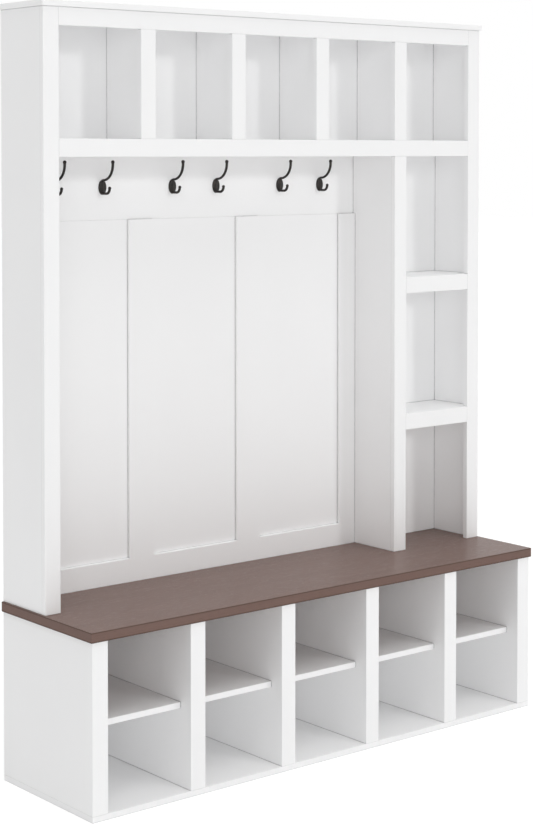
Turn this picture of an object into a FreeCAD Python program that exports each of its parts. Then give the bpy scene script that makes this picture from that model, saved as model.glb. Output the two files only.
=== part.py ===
"""Hall tree: a shoe bench with a coat space, a row of cubbies and a narrow shelf tower above it.

Millimetres, +Z up, front towards -Y. The origin is on the floor, under the middle of the whole
piece. Every size is a cell of the sheet "sizes" or is worked out from those cells by an expression.
"""
import FreeCAD, Part
import os

import Sketcher

BAYS = 5           # shoe bays in the bench, and cubbies above them
HOOK_PAIRS = 3

SIZES = {
    # the whole piece
    "body_width": 1500,           # over the outer faces of the bench
    "body_depth": 400,            # front face of the bench to the wall
    "overall_height": 1958,
    "overhang": 5,                # bench top and crown stand out this far
    "board": 15,                  # thickness of the common board
    "strip_width": 45,            # face strips, rails and bench uprights
    "eased_edge": 0.8,            # radius on the edges of every board
    # bench
    "bench_height": 456,
    "bench_top_thickness": 25,
    "bench_back_thickness": 5,
    "shoe_shelf_top": 227,
    "shoe_shelf_setback": 42,
    "shoe_shelf_gap": 0.5,        # between a loose shelf and what is round it
    # upper cabinet
    "upper_depth": 196,
    "cubby_height": 276,          # clear height between the two rails
    "back_inset": 5,              # upper backs stand this far off the wall
    "hook_board_height": 195,
    # panelled back of the coat space
    "batten_thickness": 9,
    "batten_rail_height": 63,
    "side_batten_width": 60,
    "middle_batten_width": 80,
    "middle_field_width": 280,
    "batten_bevel": 1.5,
    # coat hooks
    "hook_height": 85,            # centre of the plate above the hook board's lower edge
    "hook_pair_pitch": 372,
    "hook_spacing": 147,
    "hook_plate_width": 25,
    "hook_plate_height": 39,
    "hook_plate_dome": 5,
    "hook_rod": 6.5,
    "hook_rod_standoff": 3.5,     # middle of the rod in front of the board, along the plate
    "hook_bend": 3.5,             # where the rod turns away from the plate
    "hook_upper_level": 19,       # where it turns, above the middle of the plate
    "hook_upper_reach": 48.5,
    "hook_upper_rise": 66,
    "hook_upper_ball": 9.5,
    "hook_lower_level": 16,       # where it turns, below the middle of the plate
    "hook_lower_reach": 34,
    "hook_lower_bend": 14.5,
    "hook_lower_ball": 8,
    "hook_bolt": 4,
    "hook_bolt_head": 8,
    "hook_bolt_head_height": 3,
    "hook_bolt_grip": 4,          # thread inside the hook
    # fastenings
    "dowel": 8,
    "dowel_in_face": 10,          # depth of a dowel in the face of a board
    "dowel_in_end": 20,           # depth of a dowel in the end of a board
    "bench_dowel_from_front": 60,
    "dowel_inset": 40,            # from the edges of the upper boards
    "back_dowel_inset": 100,      # from the ends of the tall backs
    "tower_back_dowel_inset": 150,
    "pin": 5,
    "pin_in_upright": 10,
    "pin_out": 8,
    "pin_from_shelf_front": 50,
    "pin_from_wall": 60,
    "screw": 5,
    "screw_length": 45,
    "screw_head": 10,
    "screw_head_height": 4,
    "screw_from_front": 90,
    "screw_from_wall": 90,
    "cam": 15,
    "cam_depth": 12,
    "cam_distance": 34,           # centre of the cam from the joint
    "bench_cam_from_wall": 75,
    "upper_cam_from_front": 60,
    "cam_bolt": 6,
    "cam_bolt_clearance": 0.5,
    "cam_bolt_in_face": 10,
    "panel_screw": 3.5,
    "panel_screw_length": 20,
    "panel_screw_head": 7,
    "panel_screw_head_height": 2,
    # wall brackets
    "bracket_leg": 30,
    "bracket_width": 20,
    "bracket_thickness": 2,
    "bracket_hole": 6,
    "bracket_hole_drop": 20,      # wall hole below the crown
    "bracket_screw_inset": 20,    # screw into the crown, in front of the cubby back
    "bracket_screw_length": 13,
}

doc = FreeCAD.newDocument("hall_tree")
sheet = doc.addObject("Spreadsheet::Sheet", "sizes")
for row, (alias, value) in enumerate(SIZES.items(), start=1):
    sheet.set(f"A{row}", alias)
    sheet.set(f"B{row}", str(value))
    sheet.setAlias(f"B{row}", alias)
doc.recompute()

nodes = []      # the objects that are written, one file each


# ---- places, as expressions on the sheet ------------------------------------------------------

def size(alias):
    """The sheet's cell of that name, as it is written in an expression."""
    return f"sizes.{alias}"


def add(*terms):
    """The sum of expressions and numbers."""
    return "(" + " + ".join(str(term) for term in terms) + ")"


def sub(first, *others):
    """The first expression less the others."""
    return "(" + " - ".join([str(first)] + [str(term) for term in others]) + ")"


def times(factor, term):
    """A plain number times an expression."""
    return f"({factor} * {term})"


def middle(first, second):
    """Halfway between two expressions."""
    return f"(({first} + {second}) / 2)"


BOARD = size("board")
STRIP = size("strip_width")

LEFT = times(-0.5, size("body_width"))
RIGHT = times(0.5, size("body_width"))
WALL = times(0.5, add(size("body_depth"), size("overhang")))
FRONT = sub(WALL, size("body_depth"))
UPPER_FRONT = sub(WALL, size("upper_depth"))
UPPER_FRAME = add(UPPER_FRONT, BOARD)                  # back of the face strips

BENCH_UNDER = sub(size("bench_height"), size("bench_top_thickness"))
BENCH_TOP = size("bench_height")
CROWN_UNDER = sub(size("overall_height"), BOARD)
TOP_RAIL_UNDER = sub(CROWN_UNDER, STRIP)
CUBBY_FLOOR = sub(TOP_RAIL_UNDER, size("cubby_height"))
CUBBY_UNDER = sub(CUBBY_FLOOR, BOARD)
MID_RAIL_UNDER = sub(CUBBY_FLOOR, STRIP)
SEAM = sub(CUBBY_UNDER, size("hook_board_height"))     # lower edge of the hook board

BACK_REAR = sub(WALL, size("back_inset"))
BACK_FACE = sub(BACK_REAR, BOARD)
BATTEN_FACE = sub(BACK_FACE, size("batten_thickness"))
BATTEN_RAIL_TOP = add(BENCH_TOP, size("batten_rail_height"))
BENCH_BACK_FACE = sub(WALL, size("bench_back_thickness"))

INNER_LEFT = add(LEFT, BOARD)
INNER_RIGHT = sub(RIGHT, BOARD)
BAY_WIDTH = f"((sizes.body_width - {BAYS + 1} * sizes.strip_width) / {BAYS})"
BAY_PITCH = add(BAY_WIDTH, STRIP)


def strip_left(index):
    """Left edge of upright or strip number index, counted from the left side."""
    return add(LEFT, times(index, BAY_PITCH))


def strip_right(index):
    return add(strip_left(index), STRIP)


TOWER_LEFT = strip_left(BAYS - 1)                      # outer face of the tower's panel
TOWER_INNER = add(TOWER_LEFT, BOARD)
NICHES = 3
NICHE_HEIGHT = f"(({sub(MID_RAIL_UNDER, BENCH_TOP)} - {NICHES - 1} * {STRIP}) / {NICHES})"


def tower_shelf_top(index):
    """Top of tower shelf number index, counted from 1 at the bottom."""
    return add(BENCH_TOP, times(index, NICHE_HEIGHT), times(index, STRIP))


# ---- boards -----------------------------------------------------------------------------------

PLANES = {"x": ("YZ_Plane", 1), "y": ("XZ_Plane", -1), "z": ("XY_Plane", 1)}
AXES = "xyz"


def attach(body, sketch, axis, offset):
    """Lay a sketch on the body's own plane across an axis, at an offset along that axis."""
    role, way = PLANES[axis]
    plane = [item for item in body.Origin.OriginFeatures if item.Role == role][0]
    sketch.AttachmentSupport = [(plane, "")]
    sketch.MapMode = "FlatFace"
    sketch.setExpression("AttachmentOffset.Base.z", times(way, offset))


def rectangle(sketch, wide, high):
    """A rectangle from the sketch's origin, with its two sizes bound to expressions."""
    corners = [(0, 0), (10, 0), (10, 10), (0, 10)]
    for start, end in zip(corners, corners[1:] + corners[:1]):
        line = Part.LineSegment(FreeCAD.Vector(*start, 0), FreeCAD.Vector(*end, 0))
        sketch.addGeometry(line, False)
    for edge in range(4):
        sketch.addConstraint(Sketcher.Constraint("Coincident", edge, 2, (edge + 1) % 4, 1))
        level = "Horizontal" if edge % 2 == 0 else "Vertical"
        sketch.addConstraint(Sketcher.Constraint(level, edge))
    sketch.addConstraint(Sketcher.Constraint("Coincident", 0, 1, -1, 1))
    for kind, edge, length in (("DistanceX", 0, wide), ("DistanceY", 1, high)):
        index = sketch.addConstraint(Sketcher.Constraint(kind, edge, 1, edge, 2, 10.0))
        sketch.setExpression(f"Constraints[{index}]", length)


class Board:
    """A rectangular board between two corners: a padded sketch, eased, then drilled."""

    def __init__(self, label, low, high, ease="all"):
        self.low = low
        self.body = doc.addObject("PartDesign::Body", label)
        self.body.Label = label
        for axis, place in zip(AXES, low):
            self.body.setExpression(f"Placement.Base.{axis}", place)
        extent = [sub(b, a) for a, b in zip(low, high)]
        sketch = self.body.newObject("Sketcher::SketchObject", label + "_outline")
        attach(self.body, sketch, "z", "0")
        rectangle(sketch, extent[0], extent[1])
        pad = self.body.newObject("PartDesign::Pad", label + "_pad")
        pad.Profile = sketch
        pad.setExpression("Length", extent[2])
        sketch.Visibility = False
        if ease:
            doc.recompute()
            fillet = self.body.newObject("PartDesign::Fillet", label + "_eased")
            edges = [f"Edge{n + 1}" for n, edge in enumerate(pad.Shape.Edges)
                     if ease == "all" or self.runs_along(edge, ease)]
            fillet.Base = (pad, edges)
            fillet.setExpression("Radius", size("eased_edge"))
        nodes.append(self.body)

    @staticmethod
    def runs_along(edge, axis):
        """Whether an edge is parallel to the axis."""
        way = edge.tangentAt(edge.FirstParameter)
        return abs(getattr(way, axis)) > 0.99

    def local(self, axis, place):
        """A place in the room as a distance from the board's low corner."""
        return sub(place, self.low[AXES.index(axis)])

    def drill(self, name, axis, centres, diameter, start, end):
        """Round holes along an axis, from start to end, at centres across it."""
        first, second = [other for other in AXES if other != axis]
        sketch = self.body.newObject("Sketcher::SketchObject", f"{self.body.Label}_{name}_plan")
        attach(self.body, sketch, axis, self.local(axis, middle(start, end)))
        for number, (u, v) in enumerate(centres):
            centre = FreeCAD.Vector(10 + 10 * number, 10, 0)
            ring = sketch.addGeometry(Part.Circle(centre, FreeCAD.Vector(0, 0, 1), 2), False)
            for kind, value in (("DistanceX", self.local(first, u)), ("DistanceY", self.local(second, v))):
                index = sketch.addConstraint(Sketcher.Constraint(kind, -1, 1, ring, 3, 10.0))
                sketch.setExpression(f"Constraints[{index}]", value)
            index = sketch.addConstraint(Sketcher.Constraint("Diameter", ring, 4.0))
            sketch.setExpression(f"Constraints[{index}]", diameter)
        self.cut(name, sketch, sub(end, start))

    def cut(self, name, sketch, length):
        """Cut a sketch away to both sides of its plane, over a whole length."""
        pocket = self.body.newObject("PartDesign::Pocket", f"{self.body.Label}_{name}")
        pocket.Profile = sketch
        pocket.Midplane = True
        pocket.setExpression("Length", length)
        sketch.Visibility = False


# ---- round pieces -----------------------------------------------------------------------------

TURNS = {"x": FreeCAD.Rotation(FreeCAD.Vector(0, 1, 0), 90),
         "y": FreeCAD.Rotation(FreeCAD.Vector(1, 0, 0), -90),
         "z": FreeCAD.Rotation()}


def rod(name, axis, at, start, end, diameter):
    """A cylinder along an axis, from start to end, through the place at across it."""
    cylinder = doc.addObject("Part::Cylinder", name)
    cylinder.Placement = FreeCAD.Placement(FreeCAD.Vector(), TURNS[axis])
    across = [other for other in AXES if other != axis]
    for other, place in list(zip(across, at)) + [(axis, start)]:
        cylinder.setExpression(f"Placement.Base.{other}", place)
    cylinder.setExpression("Radius", f"{diameter} / 2")
    cylinder.setExpression("Height", sub(end, start))
    return cylinder


def fused(name, pieces):
    fuse = doc.addObject("Part::MultiFuse", name)
    fuse.Shapes = pieces
    return fuse


def group(label, pieces):
    """Identical pieces that share one node, each a solid of its own."""
    compound = doc.addObject("Part::Compound", label)
    compound.Label = label
    compound.Links = pieces
    nodes.append(compound)


def headed(name, axis, at, head_face, way, head, head_height, shank, length):
    """A screw: its head's flat face at head_face, its point towards way (+1 or -1) on the axis."""
    neck = add(head_face, times(way, head_height))
    point = add(head_face, times(way, length))
    if way > 0:
        parts = [(head_face, neck, head), (neck, point, shank)]
    else:
        parts = [(neck, head_face, head), (point, neck, shank)]
    return fused(name, [rod(f"{name}_{n}", axis, at, *part) for n, part in enumerate(parts)])


# ---- joints -----------------------------------------------------------------------------------

dowels = []
cams = []
cam_bolts = []


def ends(at, way, length):
    """Start and end along an axis of something that runs from at, towards way (+1 or -1)."""
    far = add(at, times(way, length))
    return (at, far) if way > 0 else (far, at)


def dowel_joint(face_board, end_board, axis, joint, way, places):
    """Dowels across a joint: the face board lies towards way from it, the end board behind it."""
    in_face = ends(joint, way, size("dowel_in_face"))
    in_end = ends(joint, -way, size("dowel_in_end"))
    face_board.drill("dowel_holes", axis, places, size("dowel"), *in_face)
    end_board.drill("dowel_ends", axis, places, size("dowel"), *in_end)
    start, end = (in_end[0], in_face[1]) if way > 0 else (in_face[0], in_end[1])
    for place in places:
        dowels.append(rod(f"dowel_{len(dowels) + 1}", axis, place, start, end, size("dowel")))


def cam_joint(face_board, end_board, axis, joint, way, bolt_at, cam_axis, cam_face, cam_way):
    """A bolt screwed into the face board, held by a cam let into a side of the end board.

    bolt_at is the bolt's place across its axis. The cam's bore starts at cam_face, on cam_axis,
    and goes in towards cam_way.
    """
    number = len(cams) + 1
    cam_middle = sub(joint, times(way, size("cam_distance")))
    rim = add(cam_middle, times(way, times(0.5, size("cam"))))
    bolt_across = [other for other in AXES if other != axis]
    place = dict(zip(bolt_across, bolt_at))
    place[axis] = cam_middle
    cam_at = tuple(place[other] for other in AXES if other != cam_axis)
    bore = ends(cam_face, cam_way, size("cam_depth"))
    end_board.drill("cam_bore", cam_axis, [cam_at], size("cam"), *bore)
    cams.append(rod(f"cam_{number}", cam_axis, cam_at, *bore, size("cam")))
    in_face = ends(joint, way, size("cam_bolt_in_face"))
    face_board.drill("bolt_hole", axis, [bolt_at], size("cam_bolt"), *in_face)
    bore_size = add(size("cam_bolt"), times(2, size("cam_bolt_clearance")))
    bore_ends = (cam_middle, joint) if way > 0 else (joint, cam_middle)
    end_board.drill("bolt_bore", axis, [bolt_at], bore_size, *bore_ends)
    bolt_ends = (rim, in_face[1]) if way > 0 else (in_face[0], rim)
    cam_bolts.append(rod(f"cam_bolt_{number}", axis, bolt_at, *bolt_ends, size("cam_bolt")))


# ---- bench ------------------------------------------------------------------------------------

def bench():
    """Bottom board, six uprights, top, thin back and one loose shelf in each bay."""
    bottom = Board("bottom_board", (LEFT, FRONT, "0"), (RIGHT, WALL, BOARD))
    top_low = (sub(LEFT, size("overhang")), sub(FRONT, size("overhang")), BENCH_UNDER)
    top = Board("bench_top", top_low, (add(RIGHT, size("overhang")), WALL, BENCH_TOP))
    back_low = (strip_right(0), BENCH_BACK_FACE, BOARD)
    back = Board("bench_back_panel", back_low, (strip_left(BAYS), WALL, BENCH_UNDER))

    uprights = []
    for index in range(BAYS + 1):
        outer = index in (0, BAYS)
        label = {0: "left_bench_side", BAYS: "right_bench_side"}.get(index, f"bench_divider_{index}")
        rear = WALL if outer else BENCH_BACK_FACE
        low = (strip_left(index), FRONT, BOARD)
        uprights.append(Board(label, low, (strip_right(index), rear, BENCH_UNDER)))

    screws = []
    screw_depths = (add(FRONT, size("screw_from_front")), sub(WALL, size("screw_from_wall")))
    for index, upright in enumerate(uprights):
        centre = middle(strip_left(index), strip_right(index))
        places = [(centre, depth) for depth in screw_depths]
        bottom.drill("screw_heads", "z", places, size("screw_head"), "0", size("screw_head_height"))
        bottom.drill("screw_holes", "z", places, size("screw"), size("screw_head_height"), BOARD)
        upright.drill("screw_bores", "z", places, size("screw"), BOARD, size("screw_length"))
        for place in places:
            name = f"bottom_screw_{len(screws) + 1}"
            head = (size("screw_head"), size("screw_head_height"))
            screws.append(headed(name, "z", place, "0", 1, *head, size("screw"), size("screw_length")))

        dowel_place = (centre, add(FRONT, size("bench_dowel_from_front")))
        dowel_joint(top, upright, "z", BENCH_UNDER, 1, [dowel_place])
        # the bore is in the side that a person standing in front sees least
        face, way = (strip_left(index), 1) if index == BAYS else (strip_right(index), -1)
        bolt_at = (add(face, times(0.5 * way, BOARD)), sub(WALL, size("bench_cam_from_wall")))
        cam_joint(top, upright, "z", BENCH_UNDER, 1, bolt_at, "x", face, way)
    group("bottom_screws", screws)

    back_screws = []
    heights = [add(BOARD, times(share, sub(BENCH_UNDER, BOARD))) for share in (0.1, 0.5, 0.9)]
    head = (size("panel_screw_head"), size("panel_screw_head_height"))
    head_end = sub(WALL, size("panel_screw_head_height"))
    point = sub(WALL, size("panel_screw_length"))
    for index in range(1, BAYS):
        centre = middle(strip_left(index), strip_right(index))
        places = [(centre, height) for height in heights]
        back.drill("screw_heads", "y", places, size("panel_screw_head"), head_end, WALL)
        back.drill("screw_holes", "y", places, size("panel_screw"), BENCH_BACK_FACE, head_end)
        uprights[index].drill("back_bores", "y", places, size("panel_screw"), point, BENCH_BACK_FACE)
        for place in places:
            name = f"back_screw_{len(back_screws) + 1}"
            shank = (size("panel_screw"), size("panel_screw_length"))
            back_screws.append(headed(name, "y", place, WALL, -1, *head, *shank))
    group("back_screws", back_screws)
    shoe_shelves(uprights)
    return top


def shoe_shelves(uprights):
    """A loose shelf in each bay, on four pins let into the uprights."""
    top = size("shoe_shelf_top")
    under = sub(top, BOARD)
    front = add(FRONT, size("shoe_shelf_setback"))
    gap = size("shoe_shelf_gap")
    depths = (add(front, size("pin_from_shelf_front")), sub(WALL, size("pin_from_wall")))
    pin_level = sub(under, times(0.5, size("pin")))
    pins = []
    for bay in range(BAYS):
        left, right = strip_right(bay), strip_left(bay + 1)
        low = (add(left, gap), front, under)
        Board(f"shoe_shelf_{bay + 1}", low, (sub(right, gap), sub(BENCH_BACK_FACE, gap), top))
        places = [(depth, pin_level) for depth in depths]
        for upright, face, way in ((uprights[bay], left, -1), (uprights[bay + 1], right, 1)):
            inner = ends(face, way, size("pin_in_upright"))
            upright.drill("pin_holes", "x", places, size("pin"), *inner)
            outer = ends(face, -way, size("pin_out"))
            start, end = (outer[0], inner[1]) if way > 0 else (inner[0], outer[1])
            for place in places:
                pins.append(rod(f"shelf_pin_{len(pins) + 1}", "x", place, start, end, size("pin")))
    group("shelf_pins", pins)


# ---- upper cabinet ----------------------------------------------------------------------------

def cabinet(bench_top):
    """Sides, crown, cubbies and shelf tower, with a face strip in front of every edge."""
    left = Board("left_side_panel", (LEFT, UPPER_FRAME, BENCH_TOP), (INNER_LEFT, WALL, CROWN_UNDER))
    right = Board("right_side_panel", (INNER_RIGHT, UPPER_FRAME, BENCH_TOP), (RIGHT, WALL, CROWN_UNDER))
    crown_low = (sub(LEFT, size("overhang")), sub(UPPER_FRONT, size("overhang")), CROWN_UNDER)
    crown_high = (add(RIGHT, size("overhang")), WALL, size("overall_height"))
    crown = Board("crown_board", crown_low, crown_high)
    floor_low = (INNER_LEFT, UPPER_FRAME, CUBBY_UNDER)
    floor = Board("cubby_floor", floor_low, (INNER_RIGHT, BACK_REAR, CUBBY_FLOOR))
    tower_low = (TOWER_LEFT, UPPER_FRAME, BENCH_TOP)
    tower = Board("tower_panel", tower_low, (TOWER_INNER, BACK_REAR, CUBBY_UNDER))
    cubby_back_low = (INNER_LEFT, BACK_FACE, CUBBY_FLOOR)
    cubby_back = Board("cubby_back", cubby_back_low, (INNER_RIGHT, BACK_REAR, CROWN_UNDER))

    face_strips()

    front_place = add(UPPER_FRAME, size("dowel_inset"))
    rear_place = sub(BACK_FACE, size("dowel_inset"))
    cam_place = add(UPPER_FRONT, size("upper_cam_from_front"))
    half_board = times(0.5, BOARD)

    for board, centre in ((left, middle(LEFT, INNER_LEFT)), (tower, middle(TOWER_LEFT, TOWER_INNER)),
                          (right, middle(INNER_RIGHT, RIGHT))):
        places = [(centre, front_place), (centre, rear_place)]
        dowel_joint(bench_top, board, "z", BENCH_TOP, -1, places)
        if board is tower:
            dowel_joint(floor, board, "z", CUBBY_UNDER, 1, places)
    for board, face, way in ((left, INNER_LEFT, -1), (right, INNER_RIGHT, 1)):
        middle_x = add(face, times(way, half_board))
        dowel_joint(crown, board, "z", CROWN_UNDER, 1, [(middle_x, rear_place)])
        cam_joint(crown, board, "z", CROWN_UNDER, 1, (middle_x, cam_place), "x", face, way)
        floor_middle = middle(CUBBY_UNDER, CUBBY_FLOOR)
        dowel_joint(board, floor, "x", face, way, [(rear_place, floor_middle)])
        cam_joint(board, floor, "x", face, way, (cam_place, floor_middle), "z", CUBBY_UNDER, 1)

    for index in range(1, BAYS):
        divider_left = add(strip_left(index), times(0.5, sub(STRIP, BOARD)))
        divider_right = add(divider_left, BOARD)
        low = (divider_left, UPPER_FRAME, CUBBY_FLOOR)
        divider = Board(f"cubby_divider_{index}", low, (divider_right, BACK_FACE, CROWN_UNDER))
        centre = middle(divider_left, divider_right)
        dowel_joint(floor, divider, "z", CUBBY_FLOOR, -1, [(centre, front_place), (centre, rear_place)])
        dowel_joint(crown, divider, "z", CROWN_UNDER, 1, [(centre, rear_place)])
        bolt_at = (centre, cam_place)
        cam_joint(crown, divider, "z", CROWN_UNDER, 1, bolt_at, "x", divider_right, -1)
        dowel_joint(cubby_back, divider, "y", BACK_FACE, 1, [(centre, middle(CUBBY_FLOOR, CROWN_UNDER))])

    shelf_tower(tower, right)
    coat_space(left, tower)
    wall_brackets(cubby_back, crown)


def face_strips():
    """Stiles and rails in front of the board edges."""
    def strip(label, low_x, high_x, low_z, high_z):
        Board(label, (low_x, UPPER_FRONT, low_z), (high_x, UPPER_FRAME, high_z))

    rail_left, rail_right = strip_right(0), strip_left(BAYS)
    strip("left_stile", LEFT, rail_left, BENCH_TOP, CROWN_UNDER)
    strip("right_stile", rail_right, RIGHT, BENCH_TOP, CROWN_UNDER)
    strip("tower_stile", TOWER_LEFT, strip_right(BAYS - 1), BENCH_TOP, MID_RAIL_UNDER)
    strip("mid_rail", rail_left, rail_right, MID_RAIL_UNDER, CUBBY_FLOOR)
    strip("top_rail", rail_left, rail_right, TOP_RAIL_UNDER, CROWN_UNDER)
    for index in range(1, BAYS):
        strip(f"cubby_stile_{index}", strip_left(index), strip_right(index), CUBBY_FLOOR, TOP_RAIL_UNDER)
    for index in range(1, NICHES):
        top = tower_shelf_top(index)
        strip(f"tower_shelf_edge_{index}", strip_right(BAYS - 1), rail_right, sub(top, STRIP), top)


def shelf_tower(tower, right):
    """The fixed shelves and the back of the narrow tower."""
    back_low = (TOWER_INNER, BATTEN_FACE, BENCH_TOP)
    back_rear = add(BATTEN_FACE, BOARD)
    back = Board("tower_back", back_low, (INNER_RIGHT, back_rear, CUBBY_UNDER))
    inset = size("tower_back_dowel_inset")
    back_middle = middle(BATTEN_FACE, back_rear)
    places = [(back_middle, add(BENCH_TOP, inset)), (back_middle, sub(CUBBY_UNDER, inset))]
    dowel_joint(tower, back, "x", TOWER_INNER, -1, places)
    dowel_joint(right, back, "x", INNER_RIGHT, 1, places)
    for index in range(1, NICHES):
        top = tower_shelf_top(index)
        low = (TOWER_INNER, UPPER_FRAME, sub(top, BOARD))
        shelf = Board(f"tower_shelf_{index}", low, (INNER_RIGHT, BATTEN_FACE, top))
        level = sub(top, times(0.5, BOARD))
        places = [(add(UPPER_FRAME, size("dowel_inset")), level),
                  (sub(BATTEN_FACE, size("dowel_inset")), level)]
        dowel_joint(tower, shelf, "x", TOWER_INNER, -1, places)
        dowel_joint(right, shelf, "x", INNER_RIGHT, 1, places)


def coat_space(left, tower):
    """Back panel with glued battens, and the hook board with its hooks above it."""
    back_low = (INNER_LEFT, BACK_FACE, BENCH_TOP)
    back = Board("coat_back_panel", back_low, (TOWER_LEFT, BACK_REAR, SEAM))
    hook_board = Board("hook_board", (INNER_LEFT, BACK_FACE, SEAM), (TOWER_LEFT, BACK_REAR, CUBBY_UNDER))
    centre_y = middle(BACK_FACE, BACK_REAR)
    back_heights = (add(BENCH_TOP, size("back_dowel_inset")), middle(BENCH_TOP, SEAM),
                    sub(SEAM, size("back_dowel_inset")))
    hook_heights = (add(SEAM, size("dowel_inset")), sub(CUBBY_UNDER, size("dowel_inset")))
    for board, heights in ((back, back_heights), (hook_board, hook_heights)):
        places = [(centre_y, height) for height in heights]
        dowel_joint(left, board, "x", INNER_LEFT, -1, places)
        dowel_joint(tower, board, "x", TOWER_LEFT, 1, places)
    battens()

    centre = middle(INNER_LEFT, TOWER_LEFT)
    level = add(SEAM, size("hook_height"))
    bolts = []
    for pair in range(HOOK_PAIRS):
        pair_centre = add(centre, times(pair - (HOOK_PAIRS - 1) / 2, size("hook_pair_pitch")))
        for side in (-1, 1):
            hook_x = add(pair_centre, times(0.5 * side, size("hook_spacing")))
            number = len(bolts) + 1
            coat_hook(f"coat_hook_{number}", hook_x, level)
            place = (hook_x, level)
            neck = sub(BACK_REAR, size("hook_bolt_head_height"))
            hook_board.drill("bolt_head", "y", [place], size("hook_bolt_head"), neck, BACK_REAR)
            hook_board.drill("bolt_hole", "y", [place], size("hook_bolt"), BACK_FACE, neck)
            head = (size("hook_bolt_head"), size("hook_bolt_head_height"))
            length = add(BOARD, size("hook_bolt_grip"))
            shank = (size("hook_bolt"), length)
            bolts.append(headed(f"hook_bolt_{number}", "y", place, BACK_REAR, -1, *head, *shank))
    group("hook_bolts", bolts)


def battens():
    """Four upright battens on a bottom rail, glued to the coat space's back panel."""
    fields = []
    centre = middle(INNER_LEFT, TOWER_LEFT)
    inner = times(0.5, size("middle_field_width"))
    outer = add(inner, size("middle_batten_width"))
    spans = ((INNER_LEFT, add(INNER_LEFT, size("side_batten_width"))),
             (sub(centre, outer), sub(centre, inner)),
             (add(centre, inner), add(centre, outer)),
             (sub(TOWER_LEFT, size("side_batten_width")), TOWER_LEFT))
    for number, (start, end) in enumerate(spans, start=1):
        low = (start, BATTEN_FACE, BATTEN_RAIL_TOP)
        Board(f"batten_{number}", low, (end, BACK_FACE, SEAM), ease="z")
    for (_, start), (end, _) in zip(spans, spans[1:]):
        fields.append((start, end))
    rail_low = (INNER_LEFT, BATTEN_FACE, BENCH_TOP)
    rail = Board("batten_rail", rail_low, (TOWER_LEFT, BACK_FACE, BATTEN_RAIL_TOP), ease=None)
    for number, (start, end) in enumerate(fields, start=1):
        rail_bevel(rail, number, start, end)


def rail_bevel(rail, number, start, end):
    """Bevel the rail's upper front corner across one field, with a triangle swept along it."""
    sketch = rail.body.newObject("Sketcher::SketchObject", f"bevel_{number}_plan")
    attach(rail.body, sketch, "x", rail.local("x", middle(start, end)))
    corners = [(0, 10), (1, 10), (0, 9)]
    for first, last in zip(corners, corners[1:] + corners[:1]):
        line = Part.LineSegment(FreeCAD.Vector(*first, 0), FreeCAD.Vector(*last, 0))
        sketch.addGeometry(line, False)
    for edge in range(3):
        sketch.addConstraint(Sketcher.Constraint("Coincident", edge, 2, (edge + 1) % 3, 1))
    sketch.addConstraint(Sketcher.Constraint("Horizontal", 0))
    sketch.addConstraint(Sketcher.Constraint("Vertical", 2))
    sketch.addConstraint(Sketcher.Constraint("PointOnObject", 0, 1, -2))
    sizes = (((0, 1, 0, 2), "DistanceX", size("batten_bevel")),
             ((2, 1, 2, 2), "DistanceY", size("batten_bevel")),
             ((-1, 1, 0, 1), "DistanceY", size("batten_rail_height")))
    for points, kind, length in sizes:
        index = sketch.addConstraint(Sketcher.Constraint(kind, *points, 5.0))
        sketch.setExpression(f"Constraints[{index}]", length)
    rail.cut(f"bevel_{number}", sketch, sub(end, start))


def hook_path(body):
    """The bent rod's middle line, in the upright plane through the hook.

    From the lower tip it bends under to the plate, goes up along it, bends out again and curves
    up to the upper tip. Distances forward are negative here.
    """
    reach, rise = SIZES["hook_upper_reach"], SIZES["hook_upper_rise"]
    low_reach, low_bend = SIZES["hook_lower_reach"], SIZES["hook_lower_bend"]
    up, down = SIZES["hook_upper_level"], SIZES["hook_lower_level"]
    off, bend = SIZES["hook_rod_standoff"], SIZES["hook_bend"]
    big = reach - off - bend
    sketch = body.newObject("Sketcher::SketchObject", body.Label + "_path")
    attach(body, sketch, "x", "0")

    def arc(u, v, radius, quarter):
        circle = Part.Circle(FreeCAD.Vector(u, v, 0), FreeCAD.Vector(0, 0, 1), radius)
        turn = 1.5707963267948966
        return sketch.addGeometry(Part.ArcOfCircle(circle, quarter * turn, (quarter + 1) * turn), False)

    def line(*points):
        return sketch.addGeometry(Part.LineSegment(*(FreeCAD.Vector(*p, 0) for p in points)), False)

    def fix(kind, *places, alias=None):
        if alias is None:
            sketch.addConstraint(Sketcher.Constraint(kind, *places))
            return
        index = sketch.addConstraint(Sketcher.Constraint(kind, *places, float(SIZES[alias])))
        sketch.setExpression(f"Constraints[{index}]", size(alias))

    lower = arc(low_bend - low_reach, low_bend - down, low_bend, 2)
    under = line((low_bend - low_reach, -down), (-off - bend, -down))
    first = arc(-off - bend, bend - down, bend, 3)
    along = line((-off, bend - down), (-off, up - bend))
    second = arc(-off - bend, up - bend, bend, 0)
    upper = arc(-off - bend, up + big, big, 2)
    tip = line((-reach, up + big), (-reach, rise))
    for one, its_end, other, other_end in ((lower, 2, under, 1), (under, 2, first, 1),
                                           (first, 2, along, 1), (along, 2, second, 1),
                                           (second, 2, upper, 2), (upper, 1, tip, 1)):
        fix("Tangent", one, its_end, other, other_end)
    fix("Horizontal", under)
    fix("Vertical", along)
    fix("Vertical", tip)
    fix("Vertical", second, 3, second, 2)
    fix("Horizontal", lower, 1, lower, 3)
    fix("Radius", lower, alias="hook_lower_bend")
    fix("Radius", first, alias="hook_bend")
    fix("Radius", second, alias="hook_bend")
    fix("DistanceX", along, 1, -1, 1, alias="hook_rod_standoff")
    fix("DistanceY", under, 1, -1, 1, alias="hook_lower_level")
    fix("DistanceY", -1, 1, second, 2, alias="hook_upper_level")
    fix("DistanceX", lower, 1, -1, 1, alias="hook_lower_reach")
    fix("DistanceX", tip, 1, -1, 1, alias="hook_upper_reach")
    fix("DistanceY", -1, 1, tip, 2, alias="hook_upper_rise")
    return sketch


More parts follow.
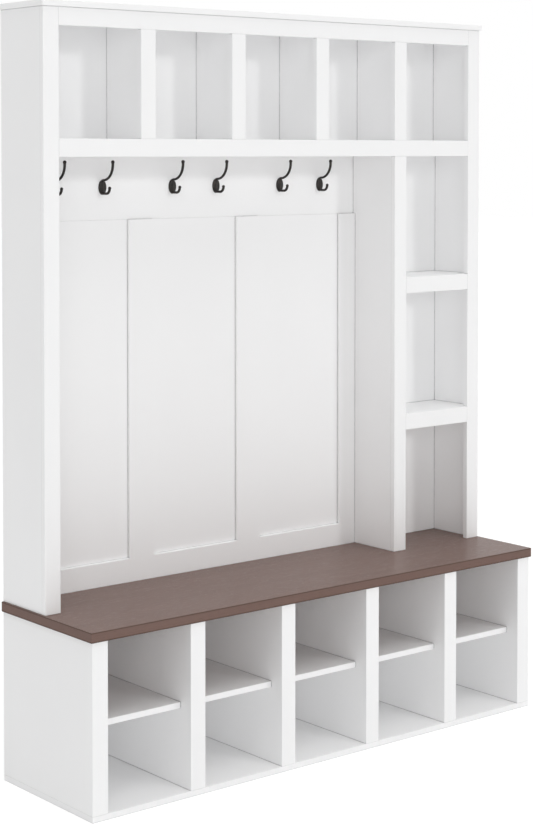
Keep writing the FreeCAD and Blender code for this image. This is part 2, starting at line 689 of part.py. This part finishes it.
def coat_hook(label, centre_x, level):
    """A domed oval plate with one bent rod across it, a ball at each end of the rod."""
    body = doc.addObject("PartDesign::Body", label)
    body.Label = label
    for axis, place in zip(AXES, (centre_x, BACK_FACE, level)):
        body.setExpression(f"Placement.Base.{axis}", place)

    plate = body.newObject("PartDesign::AdditiveEllipsoid", label + "_plate")
    plate.Placement = FreeCAD.Placement(FreeCAD.Vector(), FreeCAD.Rotation(FreeCAD.Vector(0, 0, 1), 180))
    plate.Angle3 = 180
    plate.setExpression("Radius1", f"{size('hook_plate_height')} / 2")
    plate.setExpression("Radius2", f"{size('hook_plate_width')} / 2")
    plate.setExpression("Radius3", size("hook_plate_dome"))

    path = hook_path(body)
    profile = body.newObject("Sketcher::SketchObject", label + "_section")
    tip_level = sub(size("hook_lower_bend"), size("hook_lower_level"))
    attach(body, profile, "z", tip_level)
    start = FreeCAD.Vector(0, -SIZES["hook_lower_reach"], 0)
    ring = profile.addGeometry(Part.Circle(start, FreeCAD.Vector(0, 0, 1), 3), False)
    profile.addConstraint(Sketcher.Constraint("PointOnObject", ring, 3, -2))
    index = profile.addConstraint(Sketcher.Constraint("DistanceY", ring, 3, -1, 1, 30.0))
    profile.setExpression(f"Constraints[{index}]", size("hook_lower_reach"))
    index = profile.addConstraint(Sketcher.Constraint("Diameter", ring, 6.0))
    profile.setExpression(f"Constraints[{index}]", size("hook_rod"))
    doc.recompute()
    pipe = body.newObject("PartDesign::AdditivePipe", label + "_rod")
    pipe.Profile = profile
    pipe.Spine = (path, [f"Edge{n + 1}" for n in range(len(path.Shape.Edges))])
    path.Visibility = False
    profile.Visibility = False

    tips = (("upper", size("hook_upper_reach"), size("hook_upper_rise")),
            ("lower", size("hook_lower_reach"), tip_level))
    for name, reach, height in tips:
        ball = body.newObject("PartDesign::AdditiveSphere", f"{label}_{name}_ball")
        ball.setExpression("Radius", f"{size(f'hook_{name}_ball')} / 2")
        ball.setExpression("Placement.Base.y", times(-1, reach))
        ball.setExpression("Placement.Base.z", height)

    thread = body.newObject("Sketcher::SketchObject", label + "_thread_plan")
    attach(body, thread, "y", times(-0.5, size("hook_bolt_grip")))
    ring = thread.addGeometry(Part.Circle(FreeCAD.Vector(), FreeCAD.Vector(0, 0, 1), 2), False)
    thread.addConstraint(Sketcher.Constraint("Coincident", ring, 3, -1, 1))
    index = thread.addConstraint(Sketcher.Constraint("Diameter", ring, 4.0))
    thread.setExpression(f"Constraints[{index}]", size("hook_bolt"))
    hole = body.newObject("PartDesign::Pocket", label + "_thread")
    hole.Profile = thread
    hole.Midplane = True
    hole.setExpression("Length", size("hook_bolt_grip"))
    thread.Visibility = False
    nodes.append(body)


def wall_brackets(cubby_back, crown):
    """A bracket in each outer cubby: one leg under the crown, one against the back, for wall screws."""
    brackets = []
    screws = []
    thick = size("bracket_thickness")
    leg = size("bracket_leg")
    for bay in (0, BAYS - 1):
        centre = middle(strip_right(bay), strip_left(bay + 1))
        low_x = sub(centre, times(0.5, size("bracket_width")))
        boxes = (("upright", BACK_FACE, thick, sub(CROWN_UNDER, leg), leg),
                 ("flat", BACK_FACE, leg, sub(CROWN_UNDER, thick), thick))
        legs = []
        for name, rear, depth, low_z, height in boxes:
            box = doc.addObject("Part::Box", f"bracket_{name}")
            box.setExpression("Placement.Base.x", low_x)
            box.setExpression("Placement.Base.y", sub(rear, depth))
            box.setExpression("Placement.Base.z", low_z)
            box.setExpression("Length", size("bracket_width"))
            box.setExpression("Width", depth)
            box.setExpression("Height", height)
            legs.append(box)
        wall_place = (centre, sub(CROWN_UNDER, size("bracket_hole_drop")))
        crown_place = (centre, sub(BACK_FACE, size("bracket_screw_inset")))
        leg_face = sub(BACK_FACE, thick)
        leg_under = sub(CROWN_UNDER, thick)
        holes = [rod("bracket_wall_hole", "y", wall_place, leg_face, BACK_FACE, size("bracket_hole")),
                 rod("bracket_crown_hole", "z", crown_place, leg_under, CROWN_UNDER, size("panel_screw"))]
        cut = doc.addObject("Part::Cut", "wall_bracket")
        cut.Base = fused("bracket_legs", legs)
        cut.Tool = fused("bracket_holes", holes)
        brackets.append(cut)
        cubby_back.drill("wall_hole", "y", [wall_place], size("bracket_hole"), BACK_FACE, BACK_REAR)

        head_face = sub(leg_under, size("panel_screw_head_height"))
        head = (size("panel_screw_head"), size("panel_screw_head_height"))
        shank = (size("panel_screw"), size("bracket_screw_length"))
        screws.append(headed(f"bracket_screw_{bay}", "z", crown_place, head_face, 1, *head, *shank))
        point = add(head_face, size("bracket_screw_length"))
        crown.drill("bracket_screw_hole", "z", [crown_place], size("panel_screw"), CROWN_UNDER, point)
    group("wall_brackets", brackets)
    group("bracket_screws", screws)


# ---- make, check and write --------------------------------------------------------------------

cabinet(bench())
group("wood_dowels", dowels)
group("cam_locks", cams)
group("cam_bolts", cam_bolts)
doc.recompute()

failed = [item.Label for item in doc.Objects if {"Invalid", "Error"} & set(item.State)]
failed += [node.Label for node in nodes if node.Shape.isNull() or not node.Shape.isValid()]
if failed:
    raise SystemExit("not built: " + ", ".join(failed))

os.makedirs("parts", exist_ok=True)
for node in nodes:
    node.Shape.exportStep(f"parts/{node.Label}.step")
    print(node.Label, len(node.Shape.Solids), round(node.Shape.Volume))
print(len(nodes), "nodes")
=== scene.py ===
# %% [markdown]
# # The hall tree: its looks
# This piece of furniture is a shoe bench with a panelled coat space, a row of cubbies and a narrow
# shelf tower above it. The boards come ready made from the construction model, so this lesson adds
# what that model can't say: how each surface looks, and the cast shape of the coat hooks.
# Everything is in metres, with the origin on the floor under the middle of the piece.

# %% Load the construction model
import math

import bpy
import numpy as np
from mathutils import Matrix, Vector


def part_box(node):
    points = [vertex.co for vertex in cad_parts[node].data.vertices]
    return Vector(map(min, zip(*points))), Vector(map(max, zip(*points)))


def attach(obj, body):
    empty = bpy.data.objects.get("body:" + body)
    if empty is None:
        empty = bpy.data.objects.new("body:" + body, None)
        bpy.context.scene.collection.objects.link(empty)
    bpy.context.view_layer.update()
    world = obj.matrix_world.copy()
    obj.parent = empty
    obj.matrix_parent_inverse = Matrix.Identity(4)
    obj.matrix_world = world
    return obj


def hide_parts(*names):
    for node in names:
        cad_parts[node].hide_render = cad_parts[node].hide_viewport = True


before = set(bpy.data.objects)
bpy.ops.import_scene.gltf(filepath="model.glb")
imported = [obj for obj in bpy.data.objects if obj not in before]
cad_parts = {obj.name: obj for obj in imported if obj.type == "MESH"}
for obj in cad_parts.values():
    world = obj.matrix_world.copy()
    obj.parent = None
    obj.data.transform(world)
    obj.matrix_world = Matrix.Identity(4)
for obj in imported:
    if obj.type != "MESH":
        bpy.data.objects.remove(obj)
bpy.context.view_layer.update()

# %% [markdown]
# ## The camera
# A tall piece looks right when its upright edges stay upright, so the camera is almost level and
# stands at head height, in front of the left end. A view shift then slides the frame down on to the
# furniture without tilting it. The last two degrees come from a small tilt instead of more shift.

# %% Camera
EYE = Vector((-3.2021, -3.8526, 1.5885))
TURN = math.radians(39.218)          # from looking straight at the back, towards the right
TILT = math.radians(1.923)           # downwards

camera_data = bpy.data.cameras.new("camera")
camera_data.lens = 81.565
camera_data.sensor_width = 36
camera_data.shift_y = -0.24
camera = bpy.data.objects.new("camera", camera_data)
bpy.context.scene.collection.objects.link(camera)
camera.location = EYE
looking = Vector((math.sin(TURN) * math.cos(TILT), math.cos(TURN) * math.cos(TILT),
                  -math.sin(TILT)))
camera.rotation_euler = looking.to_track_quat("-Z", "Y").to_euler()
bpy.context.scene.camera = camera
bpy.context.scene.view_settings.view_transform = "Standard"
print("camera", tuple(round(v, 3) for v in camera.location))

# %% [markdown]
# ## Writing a material as sums
# A material is a small graph of nodes. Wiring it by hand hides the idea, so two helpers let it be
# written as arithmetic. Level wraps one output of a node: adding or multiplying two of them adds the
# Math node that does it. Finish holds one material, and its node method makes any other node from
# its type, its settings and the values or links of its sockets.

# %% Helpers for materials
class Level:
    """One socket of a material. Arithmetic on it adds Math nodes."""

    def __init__(self, finish, socket):
        self.finish = finish
        self.socket = socket

    def math(self, operation, first, second):
        return self.finish.node("ShaderNodeMath", {"operation": operation}, {0: first, 1: second})

    def __add__(self, other):
        return self.math("ADD", self, other)

    def __radd__(self, other):
        return self.math("ADD", other, self)

    def __sub__(self, other):
        return self.math("SUBTRACT", self, other)

    def __rsub__(self, other):
        return self.math("SUBTRACT", other, self)

    def __mul__(self, other):
        return self.math("MULTIPLY", self, other)

    def __rmul__(self, other):
        return self.math("MULTIPLY", other, self)

    def __truediv__(self, other):
        return self.math("DIVIDE", self, other)

    def __pow__(self, other):
        return self.math("POWER", self, other)

    def above(self, low, high):
        """0 below low, 1 above high, and a smooth rise between them."""
        return self.finish.node("ShaderNodeMapRange", {"interpolation_type": "SMOOTHSTEP"},
                                {"Value": self, "From Min": low, "From Max": high})


class Finish:
    """One material. Every method adds nodes to it and returns a Level."""

    def __init__(self, name, **constants):
        self.material = bpy.data.materials.new(name)
        self.material.use_nodes = True
        self.nodes = self.material.node_tree.nodes
        self.links = self.material.node_tree.links
        self.shader = self.nodes["Principled BSDF"]
        for socket, value in constants.items():
            self.fill(self.shader.inputs[socket.replace("_", " ")], value)

    def fill(self, socket, value):
        """Links a socket to a Level, or sets it to a plain value."""
        if isinstance(value, Level):
            self.links.new(value.socket, socket)
        elif isinstance(value, tuple) and socket.type == "RGBA":
            socket.default_value = (*value, 1)
        else:
            socket.default_value = value

    def node(self, kind, settings, values, output=0):
        """A node of that type. The settings go in first, then its sockets are filled."""
        made = self.nodes.new(kind)
        for setting, value in settings.items():
            setattr(made, setting, value)
        for socket, value in values.items():
            self.fill(made.inputs[socket], value)
        return Level(self, made.outputs[output])

    def place(self, stretch=(1, 1, 1)):
        """The point on the piece in metres, each axis stretched by that much."""
        point = self.node("ShaderNodeTexCoord", {}, {}, "Object")
        return self.node("ShaderNodeMapping", {}, {"Vector": point, "Scale": stretch})

    def noise(self, where, per_metre, detail=2.0, roughness=0.5):
        """Cloudy noise from 0 to 1, with that many lumps to the metre."""
        return self.node("ShaderNodeTexNoise", {},
                         {"Vector": where, "Scale": per_metre, "Detail": detail,
                          "Roughness": roughness})

    def painted_corner_shade(self, reach):
        """Painted shade: 1 in an inner corner, such as where two boards meet, and 0 on open
        board, from how much of the sky over the point is hidden within that reach in metres."""
        hidden = 1 - self.node("ShaderNodeAmbientOcclusion", {"samples": 6}, {"Distance": reach},
                               "AO")
        return hidden.above(0.2, 0.5)

    def blend(self, factor, first, second):
        """The first colour where the factor is 0, and the second where it is 1."""
        factor_socket, first_socket, second_socket, colour_output = 0, 6, 7, 2
        return self.node("ShaderNodeMix", {"data_type": "RGBA"},
                         {factor_socket: factor, first_socket: first, second_socket: second},
                         colour_output)

    def bump(self, height, depth):
        """Tilts the light on the surface as if it rose by height times that depth in metres."""
        normal = self.node("ShaderNodeBump", {}, {"Height": height, "Distance": depth})
        self.fill(self.shader.inputs["Normal"], normal)

    def surface(self, **changing):
        """Feeds the sockets of the shader that change over the surface."""
        for socket, value in changing.items():
            self.fill(self.shader.inputs[socket.replace("_", " ")], value)


print("helpers ready")

# %% [markdown]
# ## White board
# The boards are fibreboard under a white satin film. Such a film is never quite flat: it follows the
# fibres with a fine orange peel, and its gloss wanders a little. Both are too faint to see as a
# pattern, but they soften every reflection, so the paint doesn't look like plastic. Shade is painted
# into the colour in inner corners, where boards meet, from how much of the sky a point can't see.

# %% White board
WHITE = (0.955, 0.955, 0.957)
WHITE_DEEP = (0.94, 0.94, 0.943)
# the colour of the shade painted into inner corners
CORNER_SHADE_TINT = (0.42, 0.42, 0.425)
CORNER_SHADE_REACH = 0.004                  # width of the shade painted along an inner corner
CORNER_SHADE_SHARE = 0.8                    # how much of the painted shade's colour shows at its darkest
PEEL_DEPTH = 0.00006

white = Finish("satin_white_film", IOR=1.46)
white_point = white.place()
peel = white.noise(white_point, 420, detail=3)
wander = white.noise(white_point, 7, detail=3)
fibres = white.noise(white.place((1, 1, 0.12)), 900, detail=2)
film_tone = white.blend(wander.above(0.2, 0.9), WHITE, WHITE_DEEP)
# the film's tone, with shade painted into the inner corners where boards meet
white.surface(Base_Color=white.blend(CORNER_SHADE_SHARE * white.painted_corner_shade(CORNER_SHADE_REACH), film_tone, CORNER_SHADE_TINT),
              Roughness=0.44 + 0.1 * (wander - 0.5) + 0.06 * (peel - 0.5))
white.bump(0.7 * peel + 0.3 * fibres, PEEL_DEPTH)
print("white board:", len(white.nodes), "nodes")

# %% [markdown]
# ## Brown seat
# The seat is a thicker board in a brown wood-grain film. The grain runs along the bench, so the same
# noise is stretched along X: once wide for the slow bands, once fine for the pores. The pores are
# also sunk a little, and they are duller than the film between them. The rounded arrises get
# painted shade: a dark thread on the edges, just inside the top and the base faces.

# %% Brown seat
BROWN_PALE = (0.222, 0.148, 0.127)
BROWN_DARK = (0.164, 0.104, 0.087)
# the colour of the pores, also used for the painted arris shade
PORE_AND_ARRIS_SHADE = (0.085, 0.054, 0.045)
ARRIS_SHADE_INSET = 0.0016                   # from the top and base faces to the shade painted along the edges
ARRIS_SHADE_SHARE = 0.85                    # how dark the painted arris shade is, from film to pore colour
GRAIN_DEPTH = 0.00003

brown = Finish("brown_wood_film", IOR=1.14)
along = brown.place((0.06, 1, 1))
bands = brown.noise(along, 26, detail=4, roughness=0.6)
streaks = brown.noise(brown.place((0.02, 1, 1)), 190, detail=3, roughness=0.65)
pores = brown.noise(brown.place((0.045, 1, 1)), 900, detail=2).above(0.6, 0.72)
film = brown.blend(0.55 * bands + 0.45 * streaks, BROWN_DARK, BROWN_PALE)
seat_low, seat_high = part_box("bench_top")
height = brown.node("ShaderNodeSeparateXYZ", {}, {"Vector": brown.place()}, "Z")
under_top = brown.node("ShaderNodeMath", {"operation": "ABSOLUTE"},
                       {0: height - (seat_high.z - ARRIS_SHADE_INSET)})
over_base = brown.node("ShaderNodeMath", {"operation": "ABSOLUTE"},
                       {0: height - (seat_low.z + ARRIS_SHADE_INSET)})
# painted shade: 1 on a thin line along the seat's edges, just below the top and just above the base
arris_shade = 1 - (under_top * over_base / (seat_high.z - seat_low.z)).above(0.3 * ARRIS_SHADE_INSET, ARRIS_SHADE_INSET)
grained = brown.blend(0.5 * pores, film, PORE_AND_ARRIS_SHADE)
# the grain, with the painted arris shade blended in
brown.surface(Base_Color=brown.blend(ARRIS_SHADE_SHARE * arris_shade, grained, PORE_AND_ARRIS_SHADE),
              Roughness=0.24 + 0.14 * pores + 0.06 * (bands - 0.5))
brown.bump(0.4 * streaks - 0.6 * pores, GRAIN_DEPTH)
print("brown seat:", len(brown.nodes), "nodes")

# %% [markdown]
# ## Metal and dowels
# The hooks are cast and coated in near-black bronze, so their colour is almost lost and a soft gloss
# draws the shape; where a hand rubs them, the coat is a little warmer and smoother. The fastenings
# are zinc plated, with the cloudy patches that the bath leaves. The dowels are raw beech.

# %% Bronze, zinc and beech
bronze = Finish("bronze_coat", Metallic=0.55)
bronze_point = bronze.place()
rubbed = bronze.noise(bronze_point, 90, detail=3)
grain = bronze.noise(bronze_point, 2200, detail=2)
bronze.surface(Base_Color=bronze.blend(rubbed.above(0.35, 0.75), (0.02, 0.0185, 0.018),
                                       (0.042, 0.035, 0.03)),
               Roughness=0.36 - 0.12 * rubbed + 0.08 * (grain - 0.5))
bronze.bump(grain, 0.00003)

zinc = Finish("zinc_plate", Metallic=1.0)
zinc_point = zinc.place()
cloud = zinc.noise(zinc_point, 300, detail=4)
zinc.surface(Base_Color=zinc.blend(cloud, (0.5, 0.51, 0.52), (0.68, 0.68, 0.67)),
             Roughness=0.3 + 0.2 * cloud)
zinc.bump(cloud, 0.00002)

beech = Finish("raw_beech", Roughness=0.7)
flecks = beech.noise(beech.place((0.2, 1, 1)), 1200, detail=3)
beech.surface(Base_Color=beech.blend(flecks, (0.62, 0.44, 0.28), (0.74, 0.56, 0.38)))
beech.bump(flecks, 0.00005)

FINISHES = {"white_board": white, "brown_top": brown, "dark_bronze": bronze, "zinc_steel": zinc,
            "dowel_wood": beech}
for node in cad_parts.values():
    for material_slot in node.material_slots:
        material_slot.material = FINISHES[material_slot.material.name].material
print("finishes:", sorted(FINISHES))

# %% [markdown]
# ## The shape of a coat hook
# A coat hook is one casting: a round bar bent in a plane, with a small ball at each end, running
# down the middle of a domed oval plate. The bar is a circle carried along a path, so the path comes
# first: straight runs and arcs, sampled at even steps. All of it is measured forward from the board
# and up from the middle of the plate.

# %% The bar's path
def arc(centre, radius, start, end, steps=24):
    """Points round a centre: centre + radius (cos a, sin a), for the angle a from start to end."""
    angle = np.radians(np.linspace(start, end, steps))
    return np.array(centre) + radius * np.stack([np.cos(angle), np.sin(angle)], axis=1)


def even(points, steps):
    """The same path at even steps along its length, each coordinate read from the running length."""
    length = np.concatenate([[0], np.cumsum(np.linalg.norm(np.diff(points, axis=0), axis=1))])
    wanted = np.linspace(0, length[-1], steps)
    return np.stack([np.interp(wanted, length, points[:, axis]) for axis in (0, 1)], axis=1), wanted


STANDOFF = 0.0035                    # middle of the bar in front of the board, along the plate
BEND = 0.0035                        # where the bar turns away from the plate
LOW_BEND = 0.0145                    # where the lower arm turns up
LOW_LEVEL, HIGH_LEVEL = 0.016, 0.019  # where the bar leaves the plate, under and over its middle
PATH_STEPS = 420
BALL_LOW, BALL_HIGH = 0.004, 0.00475
TIP_LOW, TIP_HIGH = (0.034, -0.0015), (0.0485, 0.066)

turn_out = STANDOFF + BEND
high_bend = TIP_HIGH[0] - turn_out
bar_path = np.concatenate([
    [(TIP_LOW[0], TIP_LOW[1] + BALL_LOW)],
    arc((TIP_LOW[0] - LOW_BEND, TIP_LOW[1]), LOW_BEND, 0, -90),
    arc((turn_out, BEND - LOW_LEVEL), BEND, -90, -180),
    arc((turn_out, HIGH_LEVEL - BEND), BEND, 180, 90),
    arc((turn_out, HIGH_LEVEL + high_bend), high_bend, -90, 0),
    [(TIP_HIGH[0], TIP_HIGH[1] + BALL_HIGH)],
])
bar_line, bar_length = even(bar_path, PATH_STEPS)
print("bar length", round(float(bar_length[-1]), 4))

# %% [markdown]
# ## Carrying a circle along the path
# The circle's radius changes on the way: it is the bar's own radius, or the ball's where that is
# larger. The bar itself grows a little from the plate to its tips, so that the balls seem to flow
# out of it instead of sitting on it.
# A soft maximum joins bar and ball with the small fillet that a mould leaves.

# %% The bar's surface
BAR = 0.00325
PLATE_SHARE = 0.42                   # where the plate is, as a share of the bar's length
FLARE = 0.3                          # how much the bar grows over its whole length


def soft_maximum(first, second, softness):
    """The larger of two arrays, rounded where they cross: the mean plus half of the root of the
    squared difference and the squared softness."""
    return (first + second + np.sqrt((first - second) ** 2 + softness ** 2)) / 2


def ball(length, middle, radius):
    """A ball's radius at that length along the path: the root of R squared less d squared."""
    return np.sqrt(np.clip(radius ** 2 - (length - middle) ** 2, 0, None))


def bar_radius(length):
    """The radius along the bar: it grows evenly from the plate to both tips, and ends in a ball."""
    total = length[-1]
    from_plate = np.abs(length / total - PLATE_SHARE)
    balls = np.maximum(ball(length, BALL_LOW, BALL_LOW), ball(length, total - BALL_HIGH, BALL_HIGH))
    bar = BAR * (0.96 + FLARE * from_plate)
    within = np.minimum(length / BALL_LOW, (total - length) / BALL_HIGH) < 1
    return np.where(within, balls, soft_maximum(bar, balls, 0.0006))


def carried(line, radius, around=36):
    """A circle carried along a line in the YZ plane: point + radius (cos a X + sin a N), where N is
    square to the line in its plane. Returns rings of points, one ring for each point of the line."""
    along = np.gradient(line, axis=0)
    along /= np.linalg.norm(along, axis=1, keepdims=True)
    angle = np.linspace(0, 2 * np.pi, around, endpoint=False)
    across = radius[:, None] * np.cos(angle)
    square = radius[:, None] * np.sin(angle)
    forward = line[:, :1] - square * along[:, 1:]
    up = line[:, 1:] + square * along[:, :1]
    return np.stack([across, -forward, up], axis=2)


bar_rings = carried(bar_line, bar_radius(bar_length))
print("bar rings", bar_rings.shape)

# %% [markdown]
# ## The domed plate
# The plate is an oval with a low dome, a narrow flat margin and a rounded edge. It is a profile
# turned about the middle, with every ring an ellipse instead of a circle. The profile starts at the
# top of the dome and ends in the middle of the flat back, which lies on the board.

# %% The plate's surface
PLATE_WIDTH, PLATE_HEIGHT, PLATE_DOME = 0.025, 0.039, 0.0036
EDGE = 0.0016                        # thickness at the margin


def plate_rings(around=56):
    """Rings of an oval: (a r cos t, -h, b r sin t), with r and the height h read off the profile.
    On the dome h falls as the root of 1 less r to the fourth; the edge is a quarter circle."""
    share = np.linspace(0.02, 0.9, 26)
    dome = EDGE + (PLATE_DOME - EDGE) * np.sqrt(1 - (share / 0.93) ** 4)
    turn = np.linspace(0, np.pi / 2, 8)
    edge_share = 0.93 + 0.07 * np.sin(turn)
    edge_height = EDGE * (0.35 + 0.65 * np.cos(turn))
    back_share = np.array([1.0, 0.98, 0.5, 0.02])
    back_height = np.array([0.0002, 0.0, 0.0, 0.0])
    radius = np.concatenate([share, edge_share, back_share])
    height = np.concatenate([dome, edge_height, back_height])
    angle = np.linspace(0, 2 * np.pi, around, endpoint=False)
    ring = np.stack([np.cos(angle) * PLATE_WIDTH / 2, 0 * angle, np.sin(angle) * PLATE_HEIGHT / 2],
                    axis=1)
    rings = radius[:, None, None] * ring[None]
    rings[:, :, 1] = -height[:, None]
    return rings


plate = plate_rings()
print("plate rings", plate.shape)

# %% [markdown]
# ## From rings to a closed mesh
# A grid of rings becomes faces by joining each ring to the next, and a fan to one middle point
# closes each end. The bar and the plate then pass through each other like two lumps of clay. A voxel
# remesh melts them into one skin, and a few rounds of smoothing leave the fillet between them.

# %% Mesh helpers
def closed_shell(rings):
    """Rings joined into a skin, with a middle point to close each end: its points, then its faces
    of four corners, then those of three."""
    count, around = rings.shape[:2]
    points = np.concatenate([rings.reshape(-1, 3), rings[:1].mean(axis=1), rings[-1:].mean(axis=1)])
    ring, step = np.meshgrid(np.arange(count - 1), np.arange(around), indexing="ij")
    near = ring * around + step
    near_next = ring * around + (step + 1) % around
    quads = np.stack([near, near_next, near_next + around, near + around], axis=2).reshape(-1, 4)
    start = np.arange(around)
    start_next = (start + 1) % around
    last = (count - 1) * around
    first_cap = np.stack([np.full(around, count * around), start_next, start], axis=1)
    last_cap = np.stack([np.full(around, count * around + 1), last + start, last + start_next],
                        axis=1)
    return points, quads, np.concatenate([first_cap, last_cap])


def joined(shells):
    """Several shells as one: a shell's corner numbers go up by the number of points before it."""
    faces, before = [], 0
    for points, quads, caps in shells:
        faces += (quads + before).tolist() + (caps + before).tolist()
        before += len(points)
    return np.concatenate([points for points, _, _ in shells]), faces


def mesh_piece(name, points, faces, finish):
    """A smooth object with that skin and that finish, its place held in its mesh."""
    mesh = bpy.data.meshes.new(name)
    mesh.from_pydata(points.tolist(), [], faces)
    mesh.materials.append(finish.material)
    mesh.shade_smooth()
    piece = bpy.data.objects.new(name, mesh)
    bpy.context.scene.collection.objects.link(piece)
    return piece


hook_points, hook_faces = joined([closed_shell(bar_rings), closed_shell(plate)])
print("hook", len(hook_points), "points", len(hook_faces), "faces")

# %% [markdown]
# ## Six hooks on the board
# The six hooks are the same casting. Each takes its place from its own node in the construction
# model: the middle of that node across the board, its back on the board, and its plate at the level
# that the lower half of the node gives.

# %% Hooks
VOXEL = 0.0004
UNDER_PLATE = PLATE_HEIGHT / 2       # the plate is the lowest thing on a hook


def coat_hook(number):
    """One hook, moved to its node's place and melted into a single skin."""
    name = f"coat_hook_{number}"
    low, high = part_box(name)
    place = np.array([(low.x + high.x) / 2, high.y, low.z + UNDER_PLATE])
    hook = mesh_piece(f"cast_hook_{number}", hook_points + place, hook_faces, bronze)
    melt = hook.modifiers.new("melt", "REMESH")
    melt.mode = "VOXEL"
    melt.voxel_size = VOXEL
    melt.use_smooth_shade = True
    ease = hook.modifiers.new("ease", "SMOOTH")
    ease.factor = 0.5
    ease.iterations = 2
    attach(hook, "root")
    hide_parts(name)
    return hook


HOOKS = 6
hooks = [coat_hook(number) for number in range(1, HOOKS + 1)]
print("hooks", [hook.name for hook in hooks])

# %% [markdown]
# ## Floor and light
# White furniture is hard to light: too much light and it melts into the room. An even white world
# does much of the work, at a level where a colour looks as it is written. One soft lamp stands to the
# right, a little above the cubbies, and its low angle is what draws the slanting shadows inside
# them. Three very wide lamps, in front, at the left and overhead, add light without a shadow of
# their own. White boards hand light on to each other many times, so it is followed through twelve
# bounces before it is given up. The floor is pale, and to the camera it glows just enough to meet
# the white behind it while it keeps the shadow of the bench.

# %% World, lamp and floor
def looking_rays(tree):
    """A socket that is 1 for the rays that only look, straight from the camera, off a gloss or
    through glass, and 0 for those that carry light: the largest of the three."""
    path = tree.nodes.new("ShaderNodeLightPath")
    looking = path.outputs["Is Camera Ray"]
    for kind in ("Is Glossy Ray", "Is Transmission Ray"):
        either = tree.nodes.new("ShaderNodeMath")
        either.operation = "MAXIMUM"
        tree.links.new(looking, either.inputs[0])
        tree.links.new(path.outputs[kind], either.inputs[1])
        looking = either.outputs[0]
    return looking


BOUNCES = 12
bpy.context.scene.cycles.diffuse_bounces = BOUNCES
WORLD_LEVEL = 0.345
world = bpy.data.worlds.new("studio")
bpy.context.scene.world = world
world.use_nodes = True
world_nodes, world_links = world.node_tree.nodes, world.node_tree.links
world_nodes.clear()
even_light = world_nodes.new("ShaderNodeBackground")
even_light.inputs["Strength"].default_value = WORLD_LEVEL
even_light.inputs["Color"].default_value = (1, 1, 1, 1)
seen_white = world_nodes.new("ShaderNodeBackground")
seen_white.inputs["Strength"].default_value = 1
seen_white.inputs["Color"].default_value = (1, 1, 1, 1)
world_mix = world_nodes.new("ShaderNodeMixShader")
world_out = world_nodes.new("ShaderNodeOutputWorld")
world_links.new(looking_rays(world.node_tree), world_mix.inputs[0])
world_links.new(even_light.outputs[0], world_mix.inputs[1])
world_links.new(seen_white.outputs[0], world_mix.inputs[2])
world_links.new(world_mix.outputs[0], world_out.inputs["Surface"])

KEY_ASIDE = 0.345                    # to the right, for each metre in front
KEY_RISE = 0.324                     # up, for each metre in front


def far_lamp(name, direction, level, spread):
    """A lamp so far away that its light is parallel. It stands in that direction, gives that level
    on a surface square to it, and its disc is that many degrees wide, which softens its shadows."""
    data = bpy.data.lights.new(name, "SUN")
    data.energy = level * math.pi
    data.angle = math.radians(spread)
    made = bpy.data.objects.new(name, data)
    bpy.context.scene.collection.objects.link(made)
    towards = Vector(direction).normalized()
    made.rotation_euler = (-towards).to_track_quat("-Z", "Y").to_euler()


far_lamp("key_lamp", (KEY_ASIDE, -1, KEY_RISE), level=0.14, spread=8)
far_lamp("front_softbox", (-0.65, -1, 0.15), level=0.16, spread=35)
far_lamp("left_softbox", (-1, 0.1, 0.15), level=0.04, spread=30)
far_lamp("overhead_softbox", (0, -0.1, 1), level=0.52, spread=70)

FLOOR_SIZE = 60
FLOOR_GLOW = 1.2                     # strength of the floor's glow for looking rays
GLOW_SHARE = 0.6                     # the rest is the lit floor, which keeps the shadow
floor_finish = Finish("pale_floor", Roughness=0.9, Specular_IOR_Level=0.1)
floor_tone = floor_finish.noise(floor_finish.place(), 3)
floor_finish.surface(Base_Color=floor_finish.blend(floor_tone, (0.93, 0.93, 0.93),
                                                   (0.95, 0.95, 0.95)))
floor_glow = floor_finish.node("ShaderNodeEmission", {},
                               {"Color": (1, 1, 1), "Strength": FLOOR_GLOW})
floor_path = Level(floor_finish, looking_rays(floor_finish.material.node_tree))
floor_mix = floor_finish.node("ShaderNodeMixShader", {}, {
    0: GLOW_SHARE * floor_path,
    1: Level(floor_finish, floor_finish.shader.outputs[0]),
    2: floor_glow,
})
floor_finish.links.new(floor_mix.socket,
                       floor_finish.nodes["Material Output"].inputs["Surface"])

floor_mesh = bpy.data.meshes.new("floor")
half = FLOOR_SIZE / 2
floor_mesh.from_pydata([(-half, -half, 0), (half, -half, 0), (half, half, 0), (-half, half, 0)],
                       [], [(0, 1, 2, 3)])
floor_mesh.materials.append(floor_finish.material)
floor = bpy.data.objects.new("floor", floor_mesh)
bpy.context.scene.collection.objects.link(floor)
print("lamps", [lit.name for lit in bpy.data.lights])
